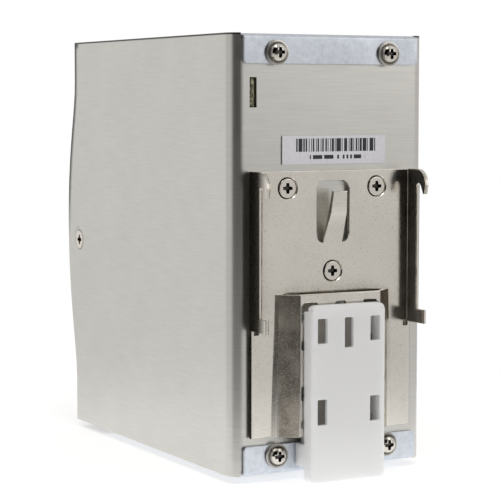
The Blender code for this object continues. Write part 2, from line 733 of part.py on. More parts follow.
def flush_screw(name, surface, axis, direction, length=7.0):
    """A countersunk screw whose head is flush with a surface."""
    slope = COUNTERSUNK_RADIUS - SHANK_RADIUS
    profile = ((0, 0), (COUNTERSUNK_RADIUS, 0), (SHANK_RADIUS, -slope),
               (SHANK_RADIUS, -length), (0, -length))
    outward = [direction if name_of_axis == axis else 0 for name_of_axis in "xyz"]
    screw = turned(name, profile, surface, outward, "screw_nickel")
    cut(screw, recess(name, surface, axis, direction))
    return screw


def fasteners():
    for index, (x, z) in enumerate(cover_screw_points(), 1):
        pan_screw(f"cover_screw_{index}", x, z, FLANGE_BACK_Y)
    for index, (x, z) in enumerate(BRACKET_SCREWS, 1):
        flush_screw(f"bracket_screw_{index}", (x, BRACKET_BACK_Y, z), "y", 1)
    y, z = SIDE_SCREW
    for name, side in (("right", 1), ("left", -1)):
        flush_screw(f"side_screw_{name}", (side * WIDTH / 2, y, z), "x", side)


# ---- Terminals and controls ----

def block_half_width(poles):
    return poles * POLE_PITCH / 2 + 1.0


def pole_positions(poles):
    return [(pole - (poles - 1) / 2) * POLE_PITCH for pole in range(poles)]


def terminal_row(name, poles, top):
    """A terminal block with one captive screw and one rising clamp for each pole."""
    half = block_half_width(poles)
    block = box(f"{name}_terminal_block", (-half, BLOCK_FRONT_Y, level(top, BLOCK_DEPTH[0])),
                (half, BLOCK_BACK_Y, level(top, BLOCK_DEPTH[1])), "terminal_plastic")
    screw_z = level(top, TERMINAL_SCREW_DEPTH)
    reach = CLAMP_HALF_HEIGHT + GAP
    for index, x in enumerate(pole_positions(poles), 1):
        cut(block,
            box("pocket_cutter", (x - CLAMP_X - GAP, POCKET_Y[0], screw_z - reach),
                (x + CLAMP_X + GAP, POCKET_Y[1], screw_z + reach)),
            box("wire_hole_cutter", (x - WIRE_HOLE_X, WIRE_HOLE_Y[0], level(top, -1)),
                (x + WIRE_HOLE_X, WIRE_HOLE_Y[1], screw_z)),
            cylinder("head_hole_cutter", (x, BLOCK_FRONT_Y - 1, screw_z),
                     (x, TERMINAL_HEAD_Y[1] + GAP, screw_z), TERMINAL_HEAD_RADIUS + GAP,
                     segments=SMALL_ROUND),
            cylinder("shank_hole_cutter", (x, TERMINAL_HEAD_Y[1], screw_z),
                     (x, POCKET_Y[0] + 1, screw_z), TERMINAL_SHANK_RADIUS + GAP,
                     segments=SMALL_ROUND))
        terminal_screw(f"{name}_terminal_screw_{index}", x, screw_z)
        wire_clamp(f"{name}_wire_clamp_{index}", x, screw_z)
    return block


def terminal_screw(name, x, z):
    """A slotted cheese head screw, turned from the front."""
    head = TERMINAL_HEAD_Y[1] - TERMINAL_HEAD_Y[0]
    shank = TERMINAL_SHANK_END_Y - TERMINAL_HEAD_Y[1]
    profile = ((0, head), (TERMINAL_HEAD_RADIUS, head), (TERMINAL_HEAD_RADIUS, 0),
               (TERMINAL_SHANK_RADIUS, 0), (TERMINAL_SHANK_RADIUS, -shank), (0, -shank))
    screw = turned(name, profile, (x, TERMINAL_HEAD_Y[1], z), (0, -1, 0), "terminal_steel", SMALL_ROUND)
    cut(screw, box(f"{name}_slot_cutter", (x - 3, TERMINAL_HEAD_Y[0] - 1, z - 0.4),
                   (x + 3, TERMINAL_HEAD_Y[0] + 0.8, z + 0.4)))
    return screw


def wire_clamp(name, x, z):
    """A cage that the screw draws forward to grip the wire."""
    low, high = CLAMP_Y
    half = CLAMP_HALF_HEIGHT
    inner_x = CLAMP_X - CLAMP_WALL
    cage = box(name, (x - CLAMP_X, low, z - half), (x + CLAMP_X, high, z + half), "terminal_steel")
    cut(cage,
        box(f"{name}_opening_cutter", (x - inner_x, low + CLAMP_WALL, z - half - 1),
            (x + inner_x, high - CLAMP_WALL, z + half + 1)),
        cylinder(f"{name}_thread_cutter", (x, low - 1, z), (x, low + CLAMP_WALL + 1, z),
                 TERMINAL_SHANK_RADIUS + GAP, segments=SMALL_ROUND))
    return cage


def controls():
    """The status light and the output voltage adjuster."""
    lens_tip = FRONT_Y + 0.2
    flange_radius = LIGHT_RADIUS + 0.5
    flange_depth = -12.0
    base_depth = lens_tip - BLOCK_BACK_Y + GAP
    dome = ((0, 0.8), (LIGHT_RADIUS * 0.6, 0.6), (LIGHT_RADIUS, 0), (LIGHT_RADIUS, flange_depth),
            (flange_radius, flange_depth), (flange_radius, base_depth), (0, base_depth))
    turned("status_light", dome, (LIGHT_X, lens_tip - 2.0, CONTROL_Z), (0, -1, 0), "light_lens",
           SMALL_ROUND)

    body_front = -98.0
    half = 3.3
    box("adjuster_body", (ADJUSTER_X - half, body_front, CONTROL_Z - half),
        (ADJUSTER_X + half, BLOCK_BACK_Y, CONTROL_Z + half), "adjuster_blue")
    rotor_tip = FRONT_Y - 0.9
    rotor = cylinder("adjuster_rotor", (ADJUSTER_X, body_front - GAP, CONTROL_Z),
                     (ADJUSTER_X, rotor_tip, CONTROL_Z), ADJUSTER_RADIUS, "nylon")
    cut(rotor, box("rotor_slot_cutter", (ADJUSTER_X - 3, rotor_tip - 1, CONTROL_Z - 0.35),
                   (ADJUSTER_X + 3, rotor_tip + 0.9, CONTROL_Z + 0.35)))


# ---- Boards and their components ----

def boards():
    """The main board along one side panel and the two that carry the terminals."""
    main = box("main_board", (BOARD_X, MAIN_BOARD_Y[0], MAIN_BOARD_Z[0]),
               (BOARD_X + BOARD_SHEET, MAIN_BOARD_Y[1], MAIN_BOARD_Z[1]), "board_laminate")
    join(main, box("board_tab_cutter", (BOARD_X, MAIN_BOARD_Y[1] - 1, TAB_Z[0]),
                   (BOARD_X + BOARD_SHEET, TAB_END_Y, TAB_Z[1])))
    film = box("insulation_film", (FILM_X[0], FILM_Y[0], FILM_Z[0]), (FILM_X[1], FILM_Y[1], FILM_Z[1]),
               "insulation_film")
    for y, z in SUPPORT_POINTS:
        for sheet, radius in ((main, SUPPORT_HOLE_RADIUS), (film, FILM_HOLE_RADIUS)):
            cut(sheet, cylinder("support_hole_cutter", (BOARD_X - 2, y, z), (FILM_X[1] + 2, y, z), radius,
                                segments=SMALL_ROUND))
    for name, (low, high) in (("output_board", OUTPUT_BOARD_Z), ("input_board", INPUT_BOARD_Z)):
        box(name, (-FRONT_BOARD_X, FRONT_BOARD_Y[0], low), (FRONT_BOARD_X, FRONT_BOARD_Y[1], high),
            "board_laminate")


def board_supports():
    """Snap-in nylon posts that hold the main board off the side panel."""
    base_x = INNER_X - GAP
    board_back = base_x - BOARD_X - BOARD_SHEET
    snap = board_back + BOARD_SHEET
    profile = ((0, snap + 1.8), (0.9, snap + 1.8), (2.0, snap + 0.7), (1.2, snap + 0.4),
               (1.2, board_back - GAP), (2.3, board_back - GAP), (2.3, 1.0), (3.5, 1.0), (3.5, 0), (0, 0))
    for index, (y, z) in enumerate(SUPPORT_POINTS, 1):
        turned(f"board_support_{index}", profile, (base_x, y, z), (-1, 0, 0), "nylon", 12)


def standing_box(name, place_on_board, size, finish, edge=0.0):
    """A block that stands on the main board."""
    y, z = place_on_board
    depth, height, tall = size
    block = box(name, (STAND_X, y - depth / 2, z - height / 2),
                (STAND_X - tall, y + depth / 2, z + height / 2), finish)
    return soften(block, edge) if edge else block


def standing_can(name, place_on_board, radius, tall, segments=ROUND):
    y, z = place_on_board
    return cylinder(name, (STAND_X, y, z), (STAND_X - tall, y, z), radius, "capacitor_sleeve", segments)


def ring_core(name, place_on_board, radius, hole, tall):
    """A wound toroid that lies flat on the board."""
    profile = ((hole, tall), (radius, tall), (radius, 0), (hole, 0))
    return turned(name, profile, (STAND_X, *place_on_board), (-1, 0, 0), "winding_tape", ring=True)


def heat_sink(name, z, tall, fins_towards):
    """A plate that stands on the board, with fins on the side away from its device."""
    fins = 5
    plate, fin, fin_height = 2.5, 1.5, 5.0
    near, far = HEAT_SINK_Y
    pitch = (far - near - fin) / (fins - 1)
    root = z + fins_towards * plate
    tip = root + fins_towards * fin_height
    outline = [(near, z), (far, z)]
    for index in reversed(range(fins)):
        y = near + index * pitch
        outline += [(y + fin, tip), (y, tip)]
        if index:
            outline += [(y, root), (y - pitch + fin, root)]
    return prism(name, [outline], STAND_X - tall, STAND_X, "x", "heat_sink_aluminium")


def cooled_device(name, sink):
    """A power device that lies against the flat side of a heat sink."""
    clearance = COOLED_DEVICE_SIZE[1] / 2 + 0.5
    z = sink["z"] - sink["fins_towards"] * clearance
    return standing_box(name, (COOLED_DEVICE_Y, z), COOLED_DEVICE_SIZE, "component_black")


def transformer():
    """A ferrite core closed round a wound bobbin."""
    y, z = TRANSFORMER_PLACE
    core_depth, height, tall = CORE_SIZE
    core = standing_box("transformer_core", TRANSFORMER_PLACE, CORE_SIZE, "ferrite")
    window_x = (STAND_X - CORE_YOKE + GAP, STAND_X - tall + CORE_YOKE - GAP)
    window_z = (CORE_LEG, height / 2 - CORE_LIMB)
    for side in (1, -1):
        cut(core, box("core_window_cutter", (window_x[0], y - core_depth, z + side * window_z[0]),
                      (window_x[1], y + core_depth, z + side * window_z[1])))
    winding_size = (WINDING_DEPTH, WINDING_HEIGHT, tall - 2 * CORE_YOKE)
    winding = standing_box("transformer_winding", TRANSFORMER_PLACE, winding_size, "winding_tape", 2.0)
    winding.location.x -= CORE_YOKE * MM
    hole_y, hole_z = core_depth / 2 + GAP, CORE_LEG + GAP
    cut(winding, box("winding_hole_cutter", (STAND_X, y - hole_y, z - hole_z),
                     (STAND_X - tall, y + hole_y, z + hole_z)))


def components():
    """The power stage, from the fuse at the bottom front to the output capacitors at the top."""
    fuse_x = STAND_X - FUSE["lift"]
    low, high = FUSE["z"]
    cylinder("fuse", (fuse_x, FUSE["y"], low), (fuse_x, FUSE["y"], high), FUSE["radius"],
             "fuse_ceramic", SMALL_ROUND)
    standing_box("input_film_capacitor", FILM_CAPACITOR["place"], FILM_CAPACITOR["size"],
                 "film_yellow", 0.8)
    for name, choke in (("input_choke", INPUT_CHOKE), ("output_choke", OUTPUT_CHOKE)):
        ring_core(name, choke["place"], choke["radius"], choke["hole"], choke["tall"])
    standing_box("bridge_rectifier", RECTIFIER_BRIDGE["place"], RECTIFIER_BRIDGE["size"], "component_black")
    standing_can("bulk_capacitor", BULK_CAPACITOR["place"], BULK_CAPACITOR["radius"],
                 BULK_CAPACITOR["tall"])
    for sink_name, device_name, sink in (("primary_heat_sink", "power_transistor", PRIMARY_SINK),
                                         ("secondary_heat_sink", "output_rectifier", SECONDARY_SINK)):
        heat_sink(sink_name, sink["z"], sink["tall"], sink["fins_towards"])
        cooled_device(device_name, sink)
    for index, y in enumerate(OUTPUT_CAPACITOR_Y, 1):
        standing_can(f"output_capacitor_{index}", (y, OUTPUT_CAPACITOR_Z), OUTPUT_CAPACITOR_RADIUS,
                     OUTPUT_CAPACITOR_TALL, SMALL_ROUND)


def serial_label():
    """A paper label on the back wall, just above the bracket."""
    box("serial_label", (LABEL_X[0], GAP, LABEL_Z[0]), (LABEL_X[1], GAP + LABEL_SHEET, LABEL_Z[1]),
        "label_paper")


clear_scene()
parts = new_collection("din_rail_power_supply")
cutters = new_collection("cutters")
housing = bpy.data.objects.new("housing_corner", None)
housing.location = Vector((0.0, -SEAT_Y, -RAIL_CENTRE)) * MM
parts.objects.link(housing)

case_shell()
cover("top_cover", True)
cover("bottom_cover", False)
front_panel()
din_bracket()
rail_latch()
latch_spring()
fasteners()
terminal_row("output", OUTPUT_POLES, True)
terminal_row("input", INPUT_POLES, False)
controls()
boards()
board_supports()
transformer()
components()
serial_label()
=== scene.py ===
"""The looks of a DIN rail power supply, seen from behind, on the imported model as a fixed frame."""
import json
import math

import bmesh
import bpy
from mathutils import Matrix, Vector


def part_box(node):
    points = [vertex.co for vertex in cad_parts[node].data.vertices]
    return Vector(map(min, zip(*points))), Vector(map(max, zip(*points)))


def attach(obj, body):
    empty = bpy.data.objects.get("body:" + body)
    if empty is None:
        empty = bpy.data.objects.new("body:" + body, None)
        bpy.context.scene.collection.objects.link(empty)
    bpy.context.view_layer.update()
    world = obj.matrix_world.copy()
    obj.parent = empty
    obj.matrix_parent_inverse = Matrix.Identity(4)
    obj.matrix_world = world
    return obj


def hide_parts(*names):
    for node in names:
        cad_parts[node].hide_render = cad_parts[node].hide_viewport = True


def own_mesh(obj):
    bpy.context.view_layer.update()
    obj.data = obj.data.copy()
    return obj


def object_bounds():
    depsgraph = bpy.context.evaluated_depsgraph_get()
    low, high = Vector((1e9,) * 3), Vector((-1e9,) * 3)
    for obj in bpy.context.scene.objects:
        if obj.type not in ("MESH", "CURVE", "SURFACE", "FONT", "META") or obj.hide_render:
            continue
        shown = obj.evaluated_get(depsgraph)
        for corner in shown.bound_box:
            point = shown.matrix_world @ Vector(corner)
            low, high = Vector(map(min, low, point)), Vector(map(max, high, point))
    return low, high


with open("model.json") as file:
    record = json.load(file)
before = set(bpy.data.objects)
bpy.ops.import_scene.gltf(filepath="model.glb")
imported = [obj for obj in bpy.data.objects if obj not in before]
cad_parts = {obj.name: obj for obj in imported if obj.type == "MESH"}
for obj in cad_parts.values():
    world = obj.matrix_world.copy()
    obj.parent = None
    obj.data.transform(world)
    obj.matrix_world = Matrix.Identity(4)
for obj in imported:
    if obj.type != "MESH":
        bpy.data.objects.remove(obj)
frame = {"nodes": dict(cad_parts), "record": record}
CAD_BOX = [list(corner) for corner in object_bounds()]
MM = 0.001
NODE_BODY = {node: body for body, nodes in frame["record"]["behaviour"]["bodies"].items() for node in nodes}
SCENE = bpy.context.scene


# ---------------------------------------------------------------- camera, floor and light

# Angles are in degrees; the yaw is from straight behind and the dark patch's bearing is from +Y.
CAMERA_PLACE = (269.7 * MM, 440.8 * MM, 41.4 * MM)
CAMERA_YAW = 28.6
CAMERA_PITCH = 4.7
LENS = 131.5
SENSOR_WIDTH = 36
CLIP = (0.01, 50)
FLOOR_GAP = 0.2 * MM
FLOOR_RADIUS = 0.25
FLOOR_FADE = (0.07, 0.21)
FLOOR_CENTRE = (0, -0.05)
FLOOR_WHITE = (0.7, 0.7, 0.7, 1)
FLOOR_GLOW = 0.55
DARK_BEARING = 26.0
DARK_HALF_WIDTH = 36.0
DARK_FADE = 14.0
DARK_FOOT = (-0.24, -0.17)
DARK_TOP = (0.75, 0.55)
DARK_LEVEL = 0.0
STUDIO_LEVEL = 0.66
STUDIO_TINT = (1, 0.985, 0.965, 1)
WHITE = (1, 1, 1, 1)


def make_camera():
    data = bpy.data.cameras.new("camera")
    data.lens = LENS
    data.sensor_width = SENSOR_WIDTH
    data.clip_start, data.clip_end = CLIP
    camera = bpy.data.objects.new("camera", data)
    yaw = math.radians(CAMERA_YAW)
    pitch = math.radians(CAMERA_PITCH)
    level = math.cos(pitch)
    forward = Vector((-math.sin(yaw) * level, -math.cos(yaw) * level, -math.sin(pitch)))
    camera.location = CAMERA_PLACE
    camera.rotation_mode = "QUATERNION"
    camera.rotation_quaternion = forward.to_track_quat("-Z", "Y")
    SCENE.collection.objects.link(camera)
    SCENE.camera = camera


def make_floor():
    """A white table top that fades out, so that the metal doesn't mirror its edge."""
    mesh = bpy.data.meshes.new("floor")
    shell = bmesh.new()
    bmesh.ops.create_circle(shell, cap_ends=True, segments=96, radius=FLOOR_RADIUS)
    shell.to_mesh(mesh)
    shell.free()
    floor = bpy.data.objects.new("floor", mesh)
    floor.location = (*FLOOR_CENTRE, CAD_BOX[0][2] - FLOOR_GAP)
    SCENE.collection.objects.link(floor)
    tree = Tree("floor_white")
    tree.shader.inputs["Base Color"].default_value = FLOOR_WHITE
    tree.shader.inputs["Roughness"].default_value = 0.9
    tree.shader.inputs["Emission Color"].default_value = WHITE
    tree.shader.inputs["Emission Strength"].default_value = FLOOR_GLOW
    length = tree.nodes.new("ShaderNodeVectorMath")
    length.operation = "LENGTH"
    tree.link(tree.place, length.inputs[0])
    fade = tree.spread(length.outputs["Value"], 1, 0, *FLOOR_FADE)
    tree.link(fade, tree.shader.inputs["Alpha"])
    mesh.materials.append(tree.material)


def make_world():
    """A white studio with a dark patch round the camera, which only reflections see."""
    world = bpy.data.worlds.new("studio")
    SCENE.world = world
    world.use_nodes = True
    nodes = world.node_tree.nodes
    links = world.node_tree.links
    nodes.clear()

    def math_node(operation, first, second=0.0, third=0.0):
        node = nodes.new("ShaderNodeMath")
        node.operation = operation
        for socket, value in zip(node.inputs, (first, second, third)):
            if isinstance(value, bpy.types.NodeSocket):
                links.new(value, socket)
            else:
                socket.default_value = value
        return node.outputs[0]

    def fade(value, start, end):
        node = nodes.new("ShaderNodeMapRange")
        node.interpolation_type = "SMOOTHSTEP"
        links.new(value, node.inputs["Value"])
        node.inputs["From Min"].default_value = start
        node.inputs["From Max"].default_value = end
        return node.outputs[0]

    place = nodes.new("ShaderNodeTexCoord")
    split = nodes.new("ShaderNodeSeparateXYZ")
    links.new(place.outputs["Generated"], split.inputs[0])
    bearing = math_node("ARCTAN2", split.outputs[0], split.outputs[1])
    away = math_node("ABSOLUTE", math_node("SUBTRACT", bearing, math.radians(DARK_BEARING)))
    beside = fade(away, math.radians(DARK_HALF_WIDTH + DARK_FADE), math.radians(DARK_HALF_WIDTH))
    above = fade(split.outputs[2], *DARK_FOOT)
    below = fade(split.outputs[2], *DARK_TOP)
    dark = math_node("MULTIPLY", math_node("MULTIPLY", beside, above), below)
    level = math_node("MULTIPLY_ADD", dark, DARK_LEVEL - STUDIO_LEVEL, STUDIO_LEVEL)
    studio = nodes.new("ShaderNodeBackground")
    studio.inputs["Color"].default_value = STUDIO_TINT
    links.new(level, studio.inputs["Strength"])
    backdrop = nodes.new("ShaderNodeBackground")
    backdrop.inputs["Color"].default_value = WHITE
    backdrop.inputs["Strength"].default_value = 1.0
    seen = nodes.new("ShaderNodeLightPath")
    choose = nodes.new("ShaderNodeMixShader")
    links.new(seen.outputs["Is Camera Ray"], choose.inputs[0])
    links.new(studio.outputs[0], choose.inputs[1])
    links.new(backdrop.outputs[0], choose.inputs[2])
    out = nodes.new("ShaderNodeOutputWorld")
    links.new(choose.outputs[0], out.inputs["Surface"])


def area_light(name, place, aim, size, power):
    data = bpy.data.lights.new(name, "AREA")
    data.shape = "RECTANGLE"
    data.size, data.size_y = size
    data.energy = power
    light = bpy.data.objects.new(name, data)
    light.location = place
    light.rotation_euler = (Vector(aim) - Vector(place)).to_track_quat("-Z", "Y").to_euler()
    SCENE.collection.objects.link(light)


def make_lights():
    middle = (0, -0.05, 0)
    area_light("rear_softbox", (-0.75, 1.0, 0.45), middle, (0.5, 0.7), 1.0)
    area_light("side_softbox", (0.65, -1.15, 0.0), middle, (0.8, 0.8), 0.36)
    area_light("top_softbox", (0.35, 0.6, 1.1), middle, (0.9, 0.6), 4)


# ---------------------------------------------------------------- materials

class Tree:
    """A new material and short calls for adding nodes to it."""

    def __init__(self, name):
        self.material = bpy.data.materials.new(name)
        self.material.use_nodes = True
        self.nodes = self.material.node_tree.nodes
        self.links = self.material.node_tree.links
        self.shader = self.nodes["Principled BSDF"]
        self.place = self.nodes.new("ShaderNodeTexCoord").outputs["Object"]

    def link(self, source, target):
        self.links.new(source, target)

    def noise(self, scale, detail=3.0, rough=0.6, stretch=(1, 1, 1)):
        """Noise from 0 to 1, with about scale features a metre along an unstretched axis."""
        mapping = self.nodes.new("ShaderNodeMapping")
        mapping.inputs["Scale"].default_value = stretch
        self.link(self.place, mapping.inputs["Vector"])
        noise = self.nodes.new("ShaderNodeTexNoise")
        noise.inputs["Scale"].default_value = scale
        noise.inputs["Detail"].default_value = detail
        noise.inputs["Roughness"].default_value = rough
        self.link(mapping.outputs[0], noise.inputs["Vector"])
        return noise.outputs["Fac"]

    def axes(self, vector=None):
        """The X, Y and Z of a vector, or of the place on the piece."""
        node = self.nodes.new("ShaderNodeSeparateXYZ")
        self.link(vector or self.place, node.inputs[0])
        return node.outputs

    def facing(self):
        """The X, Y and Z of the direction that the surface faces."""
        return self.axes(self.nodes.new("ShaderNodeNewGeometry").outputs["True Normal"])

    def all_of(self, first, *masks):
        """1 only where every mask is 1."""
        for mask in masks:
            first = self.math("MULTIPLY", first, mask)
        return first

    def spread(self, value, low, high, start=0.3, end=0.7):
        """value from start to end becomes low to high."""
        node = self.nodes.new("ShaderNodeMapRange")
        self.link(value, node.inputs["Value"])
        node.inputs["From Min"].default_value = start
        node.inputs["From Max"].default_value = end
        node.inputs["To Min"].default_value = low
        node.inputs["To Max"].default_value = high
        return node.outputs[0]

    def math(self, operation, *values):
        node = self.nodes.new("ShaderNodeMath")
        node.operation = operation
        for socket, value in zip(node.inputs, values):
            if isinstance(value, bpy.types.NodeSocket):
                self.link(value, socket)
            else:
                socket.default_value = value
        return node.outputs[0]

    def mix(self, share, first, second):
        """Colour first where share is 0, second where it is 1."""
        node = self.nodes.new("ShaderNodeMix")
        node.data_type = "RGBA"
        self.link(share, node.inputs["Factor"])
        for socket, value in ((node.inputs["A"], first), (node.inputs["B"], second)):
            if isinstance(value, bpy.types.NodeSocket):
                self.link(value, socket)
            else:
                socket.default_value = (*value, 1)
        return node.outputs["Result"]

    def bump(self, height, depth, strength=1.0):
        node = self.nodes.new("ShaderNodeBump")
        node.inputs["Strength"].default_value = strength
        node.inputs["Distance"].default_value = depth
        self.link(height, node.inputs["Height"])
        self.link(node.outputs[0], self.shader.inputs["Normal"])

    def cavity(self, reach, closed, opened):
        """1 on open surface, falling to 0 deep in a recess that is about reach wide."""
        node = self.nodes.new("ShaderNodeAmbientOcclusion")
        node.samples = 8
        node.only_local = True
        node.inputs["Distance"].default_value = reach
        return self.spread(node.outputs["AO"], 0, 1, closed, opened)

    def color(self, value):
        self.link(value, self.shader.inputs["Base Color"])

    def roughness(self, value):
        self.link(value, self.shader.inputs["Roughness"])


def shade(color, factor):
    """A lighter or darker colour."""
    return tuple(min(1.0, channel * factor) for channel in color)


# In these and the bracket's values below, each pair is where a mask starts and ends, either as distances
# in from the part's own box or as places.
# The case's painted dark rim, painted shade that stands in for the dark reflection along its top and front
# edges: its width, where it starts and fades, and how dark it is.
RIM_WIDTH = 3.0 * MM
RIM_TOP = (0.6 * MM, 0.4 * MM)
RIM_FRONT = (8 * MM, 10 * MM)
RIM_FADE = (-5 * MM, 12 * MM)
RIM_SHADE = 0.12
# How dark the painted shade in recesses gets.
PIT_SHADE = 0.06


def metal(name, color, roughness, grain=(1, 1, 1), grain_scale=900, grain_depth=0.01 * MM,
          rough_spread=0.06, tone=0.06, slow=0.4, pit_reach=0.0, sheared=False):
    """Bare or plated metal: grain along one axis, slow tone changes, painted shade in recesses up to
    pit_reach wide, and a painted dark rim if asked.
    """
    tree = Tree(name)
    tree.shader.inputs["Metallic"].default_value = 1.0
    streaks = tree.noise(grain_scale, 4, 0.7, grain)
    patches = tree.noise(60, 3, 0.55)
    blend = tree.math("MULTIPLY_ADD", streaks, 1 - slow, tree.math("MULTIPLY", patches, slow))
    tones = tree.spread(blend, 0, 1, 0.38, 0.62)
    finish = tree.mix(tones, shade(color, 1 - tone), shade(color, 1 + tone))
    # Painted shade: recesses such as a screw's cross darken towards PIT_SHADE of the colour.
    if pit_reach:
        finish = tree.mix(tree.cavity(pit_reach, 0.85, 0.99), shade(color, PIT_SHADE), finish)
    if sheared:
        # Painted shade: a dark rim along the case's top edge and the upper half of its front edge.
        finish = tree.mix(painted_dark_rim(tree), finish, shade(color, RIM_SHADE))
    tree.color(finish)
    tree.roughness(tree.spread(blend, roughness + rough_spread, roughness - rough_spread, 0.35, 0.65))
    tree.bump(streaks, grain_depth)
    return tree.material


def painted_dark_rim(tree):
    """1 along the case's top edge and the upper half of its front edge, where a dark rim is painted: painted
    shade standing in for the dark reflection these rims catch.
    """
    low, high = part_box("case_shell")
    x, y, z = tree.axes()
    top = tree.spread(z, 0, 1, high.z - RIM_TOP[0], high.z - RIM_TOP[1])
    rounded = tree.nodes.new("ShaderNodeBevel")
    rounded.samples = 8
    rounded.inputs["Radius"].default_value = RIM_WIDTH
    turned = tree.nodes.new("ShaderNodeVectorMath")
    turned.operation = "DOT_PRODUCT"
    tree.link(rounded.outputs[0], turned.inputs[0])
    tree.link(tree.nodes.new("ShaderNodeNewGeometry").outputs["True Normal"], turned.inputs[1])
    edge = tree.spread(turned.outputs["Value"], 1, 0, 0.999, 0.9999)
    front = tree.spread(y, 1, 0, low.y + RIM_FRONT[0], low.y + RIM_FRONT[1])
    upper = tree.spread(z, 0, 1, *RIM_FADE)
    return tree.math("MAXIMUM", top, tree.all_of(edge, front, upper))


NICKEL_PIT_DEPTH = 0.018 * MM
NICKEL_BRIGHT = ((0.71, 0.68, 0.62), (0.77, 0.74, 0.69))
NICKEL_SPECK = (0.42, 0.38, 0.32)
NICKEL_BROWN = ((0.15, 0.115, 0.08), (0.42, 0.37, 0.30))
NICKEL_BROWN_SPECK = (0.80, 0.75, 0.66)
# Near black, painted shade for the flanges' outer faces.
NICKEL_PAINTED_DARK = ((0.012, 0.009, 0.006), (0.16, 0.13, 0.10))
NICKEL_RECESS = 9 * MM
OUTER_FACE = (0.25 * MM, 0.1 * MM)
OUTER_FADE = (-0.5 * MM, 4 * MM)
FLANGE_START = (1.3 * MM, 1.1 * MM)
TORN_END = (0.8 * MM, 0.6 * MM)
TORN_FADE = (-3 * MM, -2 * MM)


def barrel_nickel(name):
    """Nickel tumbled in a barrel, finely pitted, with painted shade: brown in hollows and on slanted walls,
    near black on the flanges' outer faces, and a painted highlight on faces that point up; the torn flange
    edges are brown too.
    """
    tree = Tree(name)
    tree.shader.inputs["Metallic"].default_value = 1.0
    low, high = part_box("din_bracket")
    pits = tree.noise(3000, 3, 0.7)
    specks = tree.noise(2400, 3, 0.7)
    patches = tree.noise(70, 3, 0.55)
    clouds = tree.noise(160, 2, 0.5)
    x, y, z = tree.axes()
    facing_x, facing_y, facing_z = tree.facing()
    sideways = tree.math("ABSOLUTE", x)
    slant = tree.math("ABSOLUTE", facing_x)

    outermost = tree.spread(sideways, 0, 1, high.x - OUTER_FACE[0], high.x - OUTER_FACE[1])
    # Painted shade: the flanges' outer faces are painted near black, standing in for the dark reflection
    # they show.
    outer_face = tree.all_of(outermost, tree.spread(y, 1, 0, *OUTER_FADE))
    # Painted shade: faces that slant sideways, such as the tunnel's walls, are tinted brown; they are also
    # made rougher.
    slanted_walls = tree.all_of(tree.spread(slant, 0, 0.75, 0.45, 0.58), tree.spread(slant, 1, 0, 0.68, 0.8))
    flange = tree.spread(sideways, 0, 1, high.x - FLANGE_START[0], high.x - FLANGE_START[1])
    inner_half = tree.spread(sideways, 1, 0, high.x - TORN_END[0], high.x - TORN_END[1])
    rearward = tree.spread(facing_y, 0, 1, 0.5, 0.8)
    torn = tree.all_of(flange, inner_half, rearward, tree.spread(y, 0, 1, *TORN_FADE))
    # Painted shade and highlight: brown where the bracket hems itself in, bright on faces that point up.
    upward = tree.spread(facing_z, 0, 1, 0.3, 0.6)
    open_or_facing_up = tree.math("MAXIMUM", tree.cavity(NICKEL_RECESS, 0.3, 0.85), upward)

    bright = tree.mix(tree.spread(patches, 0, 1), *NICKEL_BRIGHT)
    bright = tree.mix(tree.spread(specks, 0, 1, 0.26, 0.42), NICKEL_SPECK, bright)
    brown = tree.mix(tree.spread(clouds, 0, 1, 0.35, 0.6), *NICKEL_BROWN)
    # Pale specks in the brown: painted glints.
    brown = tree.mix(tree.spread(specks, 0, 1, 0.52, 0.70), brown, NICKEL_BROWN_SPECK)
    painted_dark_face = tree.mix(tree.spread(specks, 0, 1, 0.5, 0.7), *NICKEL_PAINTED_DARK)
    finish = tree.mix(open_or_facing_up, brown, bright)
    finish = tree.mix(slanted_walls, finish, brown)
    finish = tree.mix(outer_face, finish, painted_dark_face)
    tree.color(tree.mix(torn, finish, brown))
    dull = tree.math("MULTIPLY_ADD", slanted_walls, 0.2, tree.math("MULTIPLY", flange, 0.14))
    tree.roughness(tree.math("ADD", dull, tree.spread(patches, 0.15, 0.11)))
    tree.bump(pits, NICKEL_PIT_DEPTH)
    return tree.material


def plastic(name, color, roughness, texture_scale=2500, texture_depth=0.01 * MM, tone=0.04, **shader):
    """Moulded plastic: spark-eroded fine texture, slow changes of shine and tone."""
    tree = Tree(name)
    for socket, value in shader.items():
        tree.shader.inputs[socket.replace("_", " ")].default_value = value
    grit = tree.noise(texture_scale, 2, 0.5)
    clouds = tree.noise(45, 3, 0.5)
    tree.color(tree.mix(tree.spread(clouds, 0, 1), shade(color, 1 - tone), shade(color, 1 + tone)))
    tree.roughness(tree.spread(clouds, roughness - 0.05, roughness + 0.05))
    tree.bump(grit, texture_depth)
    return tree.material


def zinc(name):
    """Bright zinc plate: bluish, with the soft cells of the rolled sheet."""
    tree = Tree(name)
    tree.shader.inputs["Metallic"].default_value = 1.0
    cells = tree.noise(700, 4, 0.65)
    clouds = tree.noise(90, 3, 0.5)
    tree.color(tree.mix(tree.spread(cells, 0, 1), (0.60, 0.64, 0.70), (0.74, 0.78, 0.84)))
    tree.roughness(tree.spread(clouds, 0.30, 0.44))
    tree.bump(cells, 0.006 * MM)
    return tree.material


BAR_MODULE = 0.26 * MM
MARK_PITCH = 0.62 * MM
BAR_SPAN = ((0.13, 0.90), (0.44, 0.90))
MARK_SPAN = ((0.26, 0.80), (0.18, 0.32))
PAPER = ((0.80, 0.79, 0.84), (0.90, 0.89, 0.93))
INK = (0.025, 0.025, 0.03)


